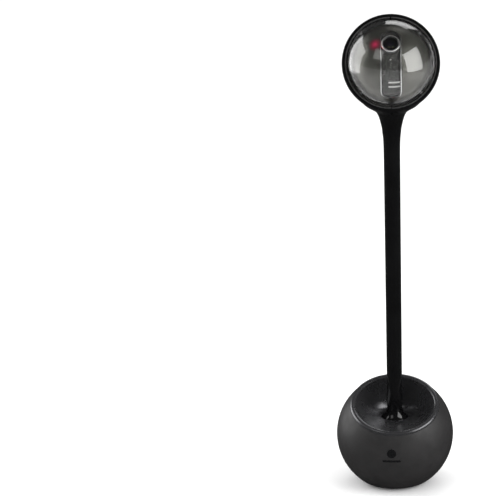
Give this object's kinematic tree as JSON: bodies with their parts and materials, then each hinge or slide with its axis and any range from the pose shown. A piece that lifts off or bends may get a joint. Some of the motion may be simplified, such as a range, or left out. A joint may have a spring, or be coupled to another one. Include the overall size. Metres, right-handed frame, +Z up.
{
  "type": "desk webcam on stalk stand",
  "caption": "Ball-shaped motorised desk webcam on a tall plug-in stalk, standing in a weighted soft-touch ball base; head pans, eye tilts.",
  "frame": {"origin": "middle of the underside of the rubber foot", "axes": "+Z up along the stalk, camera looks along -Y, +X to the right seen from the front"},
  "size_m": [0.083, 0.0831, 0.3437],
  "materials": {
    "soft_touch": "soft touch, matt dark grey",
    "gloss_black": "polished black",
    "gloss_gunmetal": "polished dark gunmetal",
    "silver_trim": "satin silver",
    "smoked_window": "clear, lightly smoked",
    "mask_grey": "dark metallic grey, satin",
    "inner_black": "fine matt black",
    "rubber": "matt",
    "steel": "turned",
    "brass": "turned",
    "gear_white": "moulded acetal",
    "circuit": "green solder mask",
    "lens_glass": "coated",
    "lamp_red": "red diffused",
    "badge": "satin grey"
  },
  "bodies": {
    "base": {"base_shell": "soft_touch", "trim_bowl": "gloss_gunmetal", "socket_housing": "gloss_black", "base_contacts": "inner_black", "base_board": "circuit", "ballast_weight": "steel", "bottom_plate": "inner_black", "foot_pad": "rubber", "bottom_screws": "steel", "cord_grommet": "rubber", "front_badge": "badge", "badge_bar": "badge", "microphone": "steel"},
    "stalk": {"stalk_tube": "gloss_black", "foot_plug": "gloss_black", "foot_contacts": "brass", "stalk_core": "rubber", "top_contacts": "brass"},
    "neck": {"neck_cone": "gloss_black", "pan_spindle": "steel", "sun_gear": "gear_white", "neck_plug": "inner_black", "neck_contacts": "brass"},
    "head": {"shell_left": "gloss_black", "shell_right": "gloss_black", "bezel_left": "silver_trim", "bezel_right": "silver_trim", "dome_window": "smoked_window", "slot_mask": "mask_grey", "slot_lip": "silver_trim", "chassis": "inner_black", "chassis_screws": "steel", "seam_dowels": "steel", "main_board": "circuit", "pan_bush": "gear_white", "pan_motor": "steel", "tilt_motor": "steel"},
    "pan_drive": {"pan_pinion": "brass"},
    "tilt_drive": {"tilt_pinion": "brass"},
    "eye": {"lens_carriage": "inner_black", "lens_barrel": "gloss_black", "lens_ring": "silver_trim", "lens_glass": "lens_glass", "sensor_board": "circuit", "indicator_led": "lamp_red", "tilt_sector": "gear_white", "tilt_axles": "steel"}
  },
  "joints": [
    {"name": "stalk_lift", "type": "slide", "parent": "base", "child": "stalk", "axis": [0, 0, 1], "range_m": [0, 0.032]},
    {"name": "neck_lift", "type": "slide", "parent": "stalk", "child": "neck", "axis": [0, 0, 1], "range_m": [0, 0.016]},
    {"name": "pan", "type": "hinge", "parent": "neck", "child": "head", "pos_m": [0, 0, 0.3095], "axis": [0, 0, 1], "range_deg": [-64, 64]},
    {"name": "tilt", "type": "hinge", "parent": "head", "child": "eye", "pos_m": [0, 0.00143, 0.30904], "axis": [-1, 0, 0], "range_deg": [-51, 3]},
    {"name": "pan_pinion_spin", "type": "hinge", "parent": "head", "child": "pan_drive", "pos_m": [0, 0.0095, 0.3095], "axis": [0, 0, 1], "range_deg": [-145, 145]},
    {"name": "tilt_pinion_spin", "type": "hinge", "parent": "head", "child": "tilt_drive", "pos_m": [0, 0.01759, 0.30378], "axis": [-1, 0, 0], "range_deg": [-20, 245]}
  ],
  "couplings": [
    {"joint": "pan_pinion_spin", "follows": "pan", "ratio": 2.1667},
    {"joint": "tilt_pinion_spin", "follows": "tilt", "ratio": -4.6667}
  ]
}
